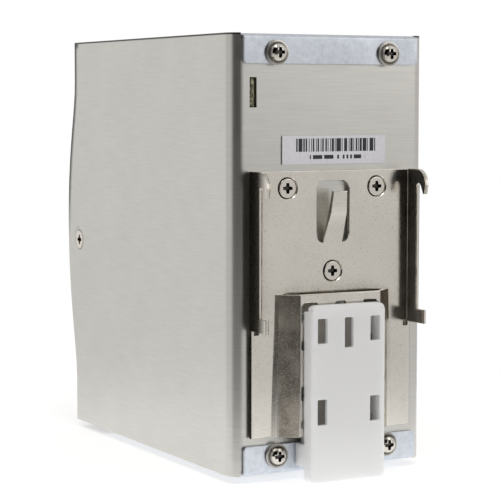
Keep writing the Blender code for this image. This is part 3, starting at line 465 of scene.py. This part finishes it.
def label_paper(name):
    """White label with a made-up bar pattern over a row of plain dashes."""
    tree = Tree(name)
    low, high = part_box("serial_label")
    x, y, z = tree.axes()
    across = tree.math("SUBTRACT", high.x, x)
    up = tree.math("SUBTRACT", z, low.z)
    sides = ((across, high.x - low.x), (up, high.z - low.z))

    def within(span):
        """1 inside a rectangle given in shares of the label's width and height."""
        masks = []
        for (value, size), (start, end) in zip(sides, span):
            masks.append(tree.math("GREATER_THAN", value, start * size))
            masks.append(tree.math("LESS_THAN", value, end * size))
        return tree.all_of(*masks)

    def cells(value, pitch):
        return tree.math("FLOOR", tree.math("DIVIDE", value, pitch))

    def dice(*indices):
        joined = tree.nodes.new("ShaderNodeCombineXYZ")
        for socket, index in zip(joined.inputs, indices):
            tree.link(index, socket)
        noise = tree.nodes.new("ShaderNodeTexWhiteNoise")
        tree.link(joined.outputs[0], noise.inputs["Vector"])
        return noise.outputs["Value"]

    module = cells(across, BAR_MODULE)
    regular = tree.math("LESS_THAN", tree.math("FRACT", tree.math("DIVIDE", module, 3.0)), 0.2)
    bar = tree.math("MAXIMUM", regular, tree.math("GREATER_THAN", dice(module), 0.66))
    bars = tree.all_of(bar, within(BAR_SPAN))
    mark = tree.math("GREATER_THAN", dice(cells(across, MARK_PITCH)), 0.3)
    marks = tree.all_of(mark, within(MARK_SPAN))
    fibres = tree.noise(1500, 3, 0.6)
    paper = tree.mix(tree.spread(fibres, 0, 1), *PAPER)
    tree.color(tree.mix(tree.math("MAXIMUM", bars, marks), paper, INK))
    tree.roughness(tree.spread(fibres, 0.45, 0.6))
    tree.bump(fibres, 0.004 * MM)
    return tree.material


def lens(name):
    """The moulded lens of the status light, lit green from behind."""
    tree = Tree(name)
    tree.shader.inputs["Transmission Weight"].default_value = 0.4
    tree.shader.inputs["Emission Color"].default_value = (0.05, 0.6, 0.12, 1)
    tree.shader.inputs["Emission Strength"].default_value = 0.4
    clouds = tree.noise(400, 2, 0.5)
    tree.color(tree.mix(tree.spread(clouds, 0, 1), (0.03, 0.42, 0.08), (0.06, 0.55, 0.12)))
    tree.roughness(tree.spread(clouds, 0.12, 0.22))
    tree.bump(clouds, 0.005 * MM)
    return tree.material


def wound_wire(name, color, pitch):
    """Varnished wire or tape in level turns."""
    tree = Tree(name)
    wave = tree.nodes.new("ShaderNodeTexWave")
    wave.bands_direction = "Z"
    wave.inputs["Scale"].default_value = 1 / (pitch * 20)
    wave.inputs["Distortion"].default_value = 0.6
    tree.link(tree.place, wave.inputs["Vector"])
    clouds = tree.noise(120, 3, 0.5)
    tree.color(tree.mix(tree.spread(clouds, 0, 1), shade(color, 0.8), shade(color, 1.1)))
    tree.roughness(tree.spread(clouds, 0.3, 0.5))
    tree.bump(wave.outputs["Fac"], 0.1 * MM, 0.6)
    return tree.material


def laminate(name):
    """The sawn edge of a board: dark resin with pale ends of glass fibre."""
    tree = Tree(name)
    fibres = tree.noise(1500, 3, 0.6, (1, 1, 1.6))
    clouds = tree.noise(80, 3, 0.5)
    ends = tree.spread(fibres, 0, 1, 0.46, 0.66)
    tree.color(tree.mix(ends, (0.055, 0.055, 0.03), (0.55, 0.52, 0.33)))
    tree.roughness(tree.spread(clouds, 0.4, 0.6))
    tree.bump(fibres, 0.03 * MM)
    return tree.material


def make_finishes():
    """The finish of every material slot in the record."""
    recipes = {
        "brushed_aluminium": (metal, dict(
            color=(0.645, 0.635, 0.60), roughness=0.31, grain=(0.03, 0.03, 1), grain_scale=3200,
            grain_depth=0.010 * MM, rough_spread=0.03, tone=0.045, slow=0.2, sheared=True)),
        "zinc_plate": (zinc, {}),
        "nickel_plate": (barrel_nickel, {}),
        "screw_nickel": (metal, dict(
            color=(0.74, 0.70, 0.64), roughness=0.12, grain_scale=1500, grain_depth=0.006 * MM,
            rough_spread=0.05, pit_reach=1.6 * MM)),
        "white_plastic": (plastic, dict(
            color=(0.95, 0.95, 0.955), roughness=0.36, texture_scale=1800, texture_depth=0.004 * MM,
            tone=0.02, Subsurface_Weight=0.9, Subsurface_Scale=1.8 * MM, Subsurface_Radius=(1, 1, 1))),
        "spring_steel": (metal, dict(color=(0.55, 0.54, 0.52), roughness=0.25)),
        "label_paper": (label_paper, {}),
        "panel_plastic": (plastic, dict(
            color=(0.035, 0.036, 0.04), roughness=0.5, texture_scale=2200,
            texture_depth=0.03 * MM, tone=0.1)),
        "terminal_plastic": (plastic, dict(
            color=(0.02, 0.13, 0.07), roughness=0.42, texture_scale=2200,
            texture_depth=0.015 * MM, tone=0.1)),
        "terminal_steel": (metal, dict(color=(0.62, 0.60, 0.56), roughness=0.24, pit_reach=1.6 * MM)),
        "light_lens": (lens, {}),
        "adjuster_blue": (plastic, dict(
            color=(0.03, 0.10, 0.42), roughness=0.35, texture_scale=2000, tone=0.08)),
        "board_laminate": (laminate, {}),
        "nylon": (plastic, dict(color=(0.78, 0.76, 0.70), roughness=0.45, texture_scale=2000)),
        "insulation_film": (plastic, dict(
            color=(0.55, 0.54, 0.50), roughness=0.3, texture_scale=900, texture_depth=0.02 * MM, tone=0.05)),
        "ferrite": (plastic, dict(
            color=(0.045, 0.043, 0.045), roughness=0.6, texture_scale=3000,
            texture_depth=0.04 * MM, tone=0.2)),
        "winding_tape": (wound_wire, dict(color=(0.62, 0.45, 0.06), pitch=0.6 * MM)),
        "heat_sink_aluminium": (metal, dict(
            color=(0.62, 0.62, 0.62), roughness=0.38, grain=(1, 1, 0.05), grain_scale=1800,
            grain_depth=0.02 * MM, tone=0.08)),
        "capacitor_sleeve": (plastic, dict(
            color=(0.02, 0.03, 0.08), roughness=0.28, texture_scale=900, tone=0.1)),
        "component_black": (plastic, dict(
            color=(0.02, 0.02, 0.022), roughness=0.55, texture_scale=2600,
            texture_depth=0.03 * MM, tone=0.15)),
        "film_yellow": (plastic, dict(
            color=(0.62, 0.42, 0.05), roughness=0.35, texture_scale=900, tone=0.06)),
        "fuse_ceramic": (plastic, dict(color=(0.72, 0.70, 0.64), roughness=0.4, texture_scale=1800)),
    }
    return {slot: maker(slot, **values) for slot, (maker, values) in recipes.items()}


# ---------------------------------------------------------------- pieces

EDGE_RADIUS = {
    "case_shell": 0.15 * MM,
    "top_cover": 0.12 * MM,
    "bottom_cover": 0.12 * MM,
    "rail_latch": 0.2 * MM,
    "front_panel": 0.4 * MM,
    "output_terminal_block": 0.25 * MM,
    "input_terminal_block": 0.25 * MM,
    "serial_label": 0.02 * MM,
}
SMALL_RADIUS = 0.1 * MM
FLANGE_CORNER = 1.1 * MM
SCREW_RIM = 0.5 * MM

# An edge is rounded if its faces meet at more than SHARP_ANGLE degrees, and stays a crease in shading
# above CREASE_ANGLE.
SHARP_ANGLE = 30
CREASE_ANGLE = 50
WELD = 0.001 * MM
SLIVER = 0.002 * MM
CARVE_WELD = 0.004 * MM

# The latch's moulding and the pocket in its back.
LATCH_CORNER = 1.9 * MM
LATCH_EDGE = 0.7 * MM
LATCH_WALL = 1.4 * MM
POCKET_X = 10.3 * MM
POCKET_Z = (-54.0 * MM, -19.3 * MM)
POCKET_CORNER = 0.5 * MM
POCKET_EDGE = 0.2 * MM

# The bracket's bends, its tongue, and the notches and slot ends that are cut last.
BRACKET_EDGE = 0.25 * MM
TUNNEL_BEND = 1.3 * MM
TUNNEL_BEND_X = 18.0 * MM
TONGUE_Z = (0.3 * MM, 15.7 * MM)
TONGUE_HALF_WIDTH = 3.3 * MM
TONGUE_TAPER = 0.28
RELIEF_WIDTH = 1.7 * MM
RELIEF_DROP = 1.6 * MM
FLANGE_FOOT = -22.9 * MM
NOTCH_CORNER = 0.2 * MM
NOTCH_EDGE = 0.1 * MM
SLOT_END_X = (12.0 * MM, 12.85 * MM)
SLOT_ENDS = [
    (-21.2 * MM, -16.3 * MM),
    (-28.9 * MM, -26.3 * MM),
    (-43.3 * MM, -39.3 * MM),
    (-51.2 * MM, -49.0 * MM),
]


def add_piece(name, mesh, body, slot, replaced=()):
    """A new visual piece with its slot's finish, riding on a body in place of CAD nodes."""
    piece = bpy.data.objects.new(name, mesh)
    SCENE.collection.objects.link(piece)
    mesh.materials.clear()
    mesh.materials.append(FINISHES[slot])
    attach(piece, body)
    if replaced:
        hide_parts(*replaced)
    return piece


def steepness(edge):
    """The angle between the edge's two faces, in radians."""
    return edge.calc_face_angle() if edge.is_manifold else 0.0


def settle(shell):
    """Puts corners and faces in the order of their places, so that each run gives the same mesh.

    Two faces on the same corners are a fin with no thickness, and both are left out.
    """
    corners = sorted(shell.verts, key=lambda vertex: tuple(round(value, 7) for value in vertex.co))
    rank = {vertex: number for number, vertex in enumerate(corners)}
    places = [vertex.co.copy() for vertex in corners]
    faces = {}
    for face in shell.faces:
        loop = [rank[vertex] for vertex in face.verts]
        first = loop.index(min(loop))
        faces.setdefault(frozenset(loop), []).append(loop[first:] + loop[:first])
    shell.clear()
    vertices = [shell.verts.new(place) for place in places]
    for loops in sorted(faces.values()):
        if len(loops) == 1:
            shell.faces.new([vertices[number] for number in loops[0]])
    shell.normal_update()


def soften_edges(shell, edges, radius, segments=2, clamp=True):
    """Rounds the edges, and closes the hairline gaps that this leaves."""
    bmesh.ops.bevel(shell, geom=edges, offset=radius, offset_type="OFFSET", segments=segments, profile=0.5,
                    affect="EDGES", clamp_overlap=clamp)
    settle(shell)
    bmesh.ops.remove_doubles(shell, verts=shell.verts, dist=WELD)
    settle(shell)


def rounded_slab(low, high, corner, rim):
    """A closed slab between two points, with round corners as seen along Y and softened outlines."""
    shell = bmesh.new()
    bmesh.ops.create_cube(shell, size=1.0)
    for vertex in shell.verts:
        for axis in range(3):
            vertex.co[axis] = high[axis] if vertex.co[axis] > 0 else low[axis]
    half = 0.5 * abs(high[1] - low[1])
    along_y = [edge for edge in shell.edges if abs(edge.verts[0].co.y - edge.verts[1].co.y) > half]
    soften_edges(shell, along_y, corner, 6, False)
    outline = [edge for edge in shell.edges if steepness(edge) > math.radians(60)]
    soften_edges(shell, outline, rim, 3, False)
    mesh = bpy.data.meshes.new("slab")
    shell.to_mesh(mesh)
    shell.free()
    return mesh


def carved(mesh, tool, operation):
    """The mesh after a Boolean with another, both of them closed."""
    host = bpy.data.objects.new("host", mesh)
    cutter = bpy.data.objects.new("cutter", tool)
    SCENE.collection.objects.link(host)
    SCENE.collection.objects.link(cutter)
    modifier = host.modifiers.new("carve", "BOOLEAN")
    modifier.operation = operation
    modifier.object = cutter
    graph = bpy.context.evaluated_depsgraph_get()
    result = bpy.data.meshes.new_from_object(host.evaluated_get(graph))
    bpy.data.objects.remove(host)
    bpy.data.objects.remove(cutter)
    return result


def smooth_surface(mesh):
    """Every face is shaded as part of a curve."""
    for face in mesh.polygons:
        face.use_smooth = True


def weighted_normals(piece):
    """Flat faces stay flat in shading, and the narrow strips between them turn smoothly."""
    edges = {edge.key: edge for edge in piece.data.edges}
    turns = {}
    for face in piece.data.polygons:
        for key in face.edge_keys:
            turns.setdefault(key, []).append(face.normal)
    for key, normals in turns.items():
        if len(normals) == 2 and normals[0].angle(normals[1], 0) > math.radians(CREASE_ANGLE):
            edges[key].use_edge_sharp = True
    modifier = piece.modifiers.new("weighted_normals", "WEIGHTED_NORMAL")
    modifier.keep_sharp = True


def finer_copy(node, slot, radius):
    """The node's shape with its sharp edges rounded and its curves smooth."""
    mesh = frame["nodes"][node].data.copy()
    if node == "rail_latch":
        mesh = carved_latch(mesh)
    shell = bmesh.new()
    shell.from_mesh(mesh)
    settle(shell)
    bmesh.ops.remove_doubles(shell, verts=shell.verts, dist=SLIVER)
    bmesh.ops.dissolve_limit(shell, angle_limit=math.radians(0.5), verts=shell.verts, edges=shell.edges)
    sharp = math.radians(SHARP_ANGLE)
    if node == "din_bracket":
        taper_tongue(shell)
        soften_edges(shell, [edge for edge in shell.edges if tunnel_bend(edge)], TUNNEL_BEND, 4, False)
        outline = [edge for edge in shell.edges if steepness(edge) > sharp and stands_free(edge)]
        soften_edges(shell, outline, BRACKET_EDGE, 3, False)
    if node in ("top_cover", "bottom_cover"):
        soften_edges(shell, flange_corners(shell, node), FLANGE_CORNER, 4, False)
    if node.startswith("bracket_screw"):
        soften_edges(shell, head_rim(shell, node), SCREW_RIM, 4, False)
    soften_edges(shell, [edge for edge in shell.edges if steepness(edge) > sharp], radius)
    shell.to_mesh(mesh)
    shell.free()
    if node == "din_bracket":
        mesh = carved_bracket(mesh)
    smooth_surface(mesh)
    piece = add_piece(node + "_piece", mesh, NODE_BODY[node], slot, [node])
    weighted_normals(piece)
    return piece


def carved_latch(mesh):
    """The slide's moulding has round corners, softened outlines and a hollow back."""
    low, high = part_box("rail_latch")
    outside = rounded_slab(low - Vector((0, 2 * MM, 0)), high, LATCH_CORNER, LATCH_EDGE)
    mesh = carved(mesh, outside, "INTERSECT")
    start = Vector((-POCKET_X, 0, POCKET_Z[0]))
    end = Vector((POCKET_X, high.y - LATCH_WALL, POCKET_Z[1]))
    return carved(mesh, rounded_slab(start, end, POCKET_CORNER, POCKET_EDGE), "DIFFERENCE")


def carved_bracket(mesh):
    """The bend of each flange ends in a relief notch, and the latch's slots widen at their ends."""
    low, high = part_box("din_bracket")
    holes = [((high.x - 1.5 * RELIEF_WIDTH, low.y - MM, FLANGE_FOOT - RELIEF_DROP),
              (high.x - 0.5 * RELIEF_WIDTH, low.y + 3 * MM, FLANGE_FOOT))]
    for bottom, top in SLOT_ENDS:
        holes.append(((SLOT_END_X[0], -3 * MM, bottom), (SLOT_END_X[1], MM, top)))
    for start, end in holes:
        for side in (-1, 1):
            xs = sorted((side * start[0], side * end[0]))
            tool = rounded_slab((xs[0], *start[1:]), (xs[1], *end[1:]), NOTCH_CORNER, NOTCH_EDGE)
            mesh = carved(mesh, tool, "DIFFERENCE")
    shell = bmesh.new()
    shell.from_mesh(mesh)
    settle(shell)
    bmesh.ops.remove_doubles(shell, verts=shell.verts, dist=CARVE_WELD)
    bmesh.ops.dissolve_degenerate(shell, dist=SLIVER, edges=shell.edges)
    settle(shell)
    shell.to_mesh(mesh)
    shell.free()
    return mesh


def taper_tongue(shell):
    """The lanced tongue narrows towards its tip."""
    low, high = TONGUE_Z
    for vertex in shell.verts:
        if abs(vertex.co.x) < TONGUE_HALF_WIDTH and low + 2 * MM < vertex.co.z < high + MM:
            vertex.co.x *= 1 - TONGUE_TAPER * min(1, (vertex.co.z - low) / (high - low))


def stands_free(edge):
    """The edge is long and no short edge meets it, so that there is room to round it."""
    shortest = min(other.calc_length() for vertex in edge.verts for other in vertex.link_edges)
    return edge.calc_length() > 1.5 * MM and shortest > 2 * BRACKET_EDGE


def flange_corners(shell, cover):
    """The two free corners of a cover's flange."""
    low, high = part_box(cover)

    def is_corner(edge):
        start, end = (vertex.co for vertex in edge.verts)
        through = abs(start.y - end.y) > 0.9 * edge.calc_length() and edge.calc_length() < 2 * MM
        outermost = start.y > high.y - 2 * MM and abs(start.x) > high.x - 2 * MM
        return through and outermost and steepness(edge) > math.radians(80)

    return [edge for edge in shell.edges if is_corner(edge)]


def head_rim(shell, node):
    """The edges round the flat top of a flush screw's head."""
    low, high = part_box(node)
    middle = (low + high) / 2
    radius = (high.x - low.x) / 2
    top = high.y

    def on_rim(vertex):
        away = math.hypot(vertex.co.x - middle.x, vertex.co.z - middle.z)
        return abs(vertex.co.y - top) < 0.05 * MM and away > 0.9 * radius

    return [edge for edge in shell.edges if all(on_rim(vertex) for vertex in edge.verts)]


def tunnel_bend(edge):
    """The upright bends between the bracket's plate and its tunnel."""
    run = edge.verts[0].co - edge.verts[1].co
    bent = math.radians(30) < steepness(edge) < math.radians(45)
    return abs(run.z) > 10 * MM and bent and abs(edge.verts[0].co.x) > TUNNEL_BEND_X


FINISHES = make_finishes()
for node in sorted(NODE_BODY):
    slot = frame["nodes"][node].data.materials[0].name
    piece = finer_copy(node, slot, EDGE_RADIUS.get(node, SMALL_RADIUS))
    if node == "latch_spring":
        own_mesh(piece)

make_camera()
make_floor()
make_world()
make_lights()
SCENE.view_settings.view_transform = "Standard"
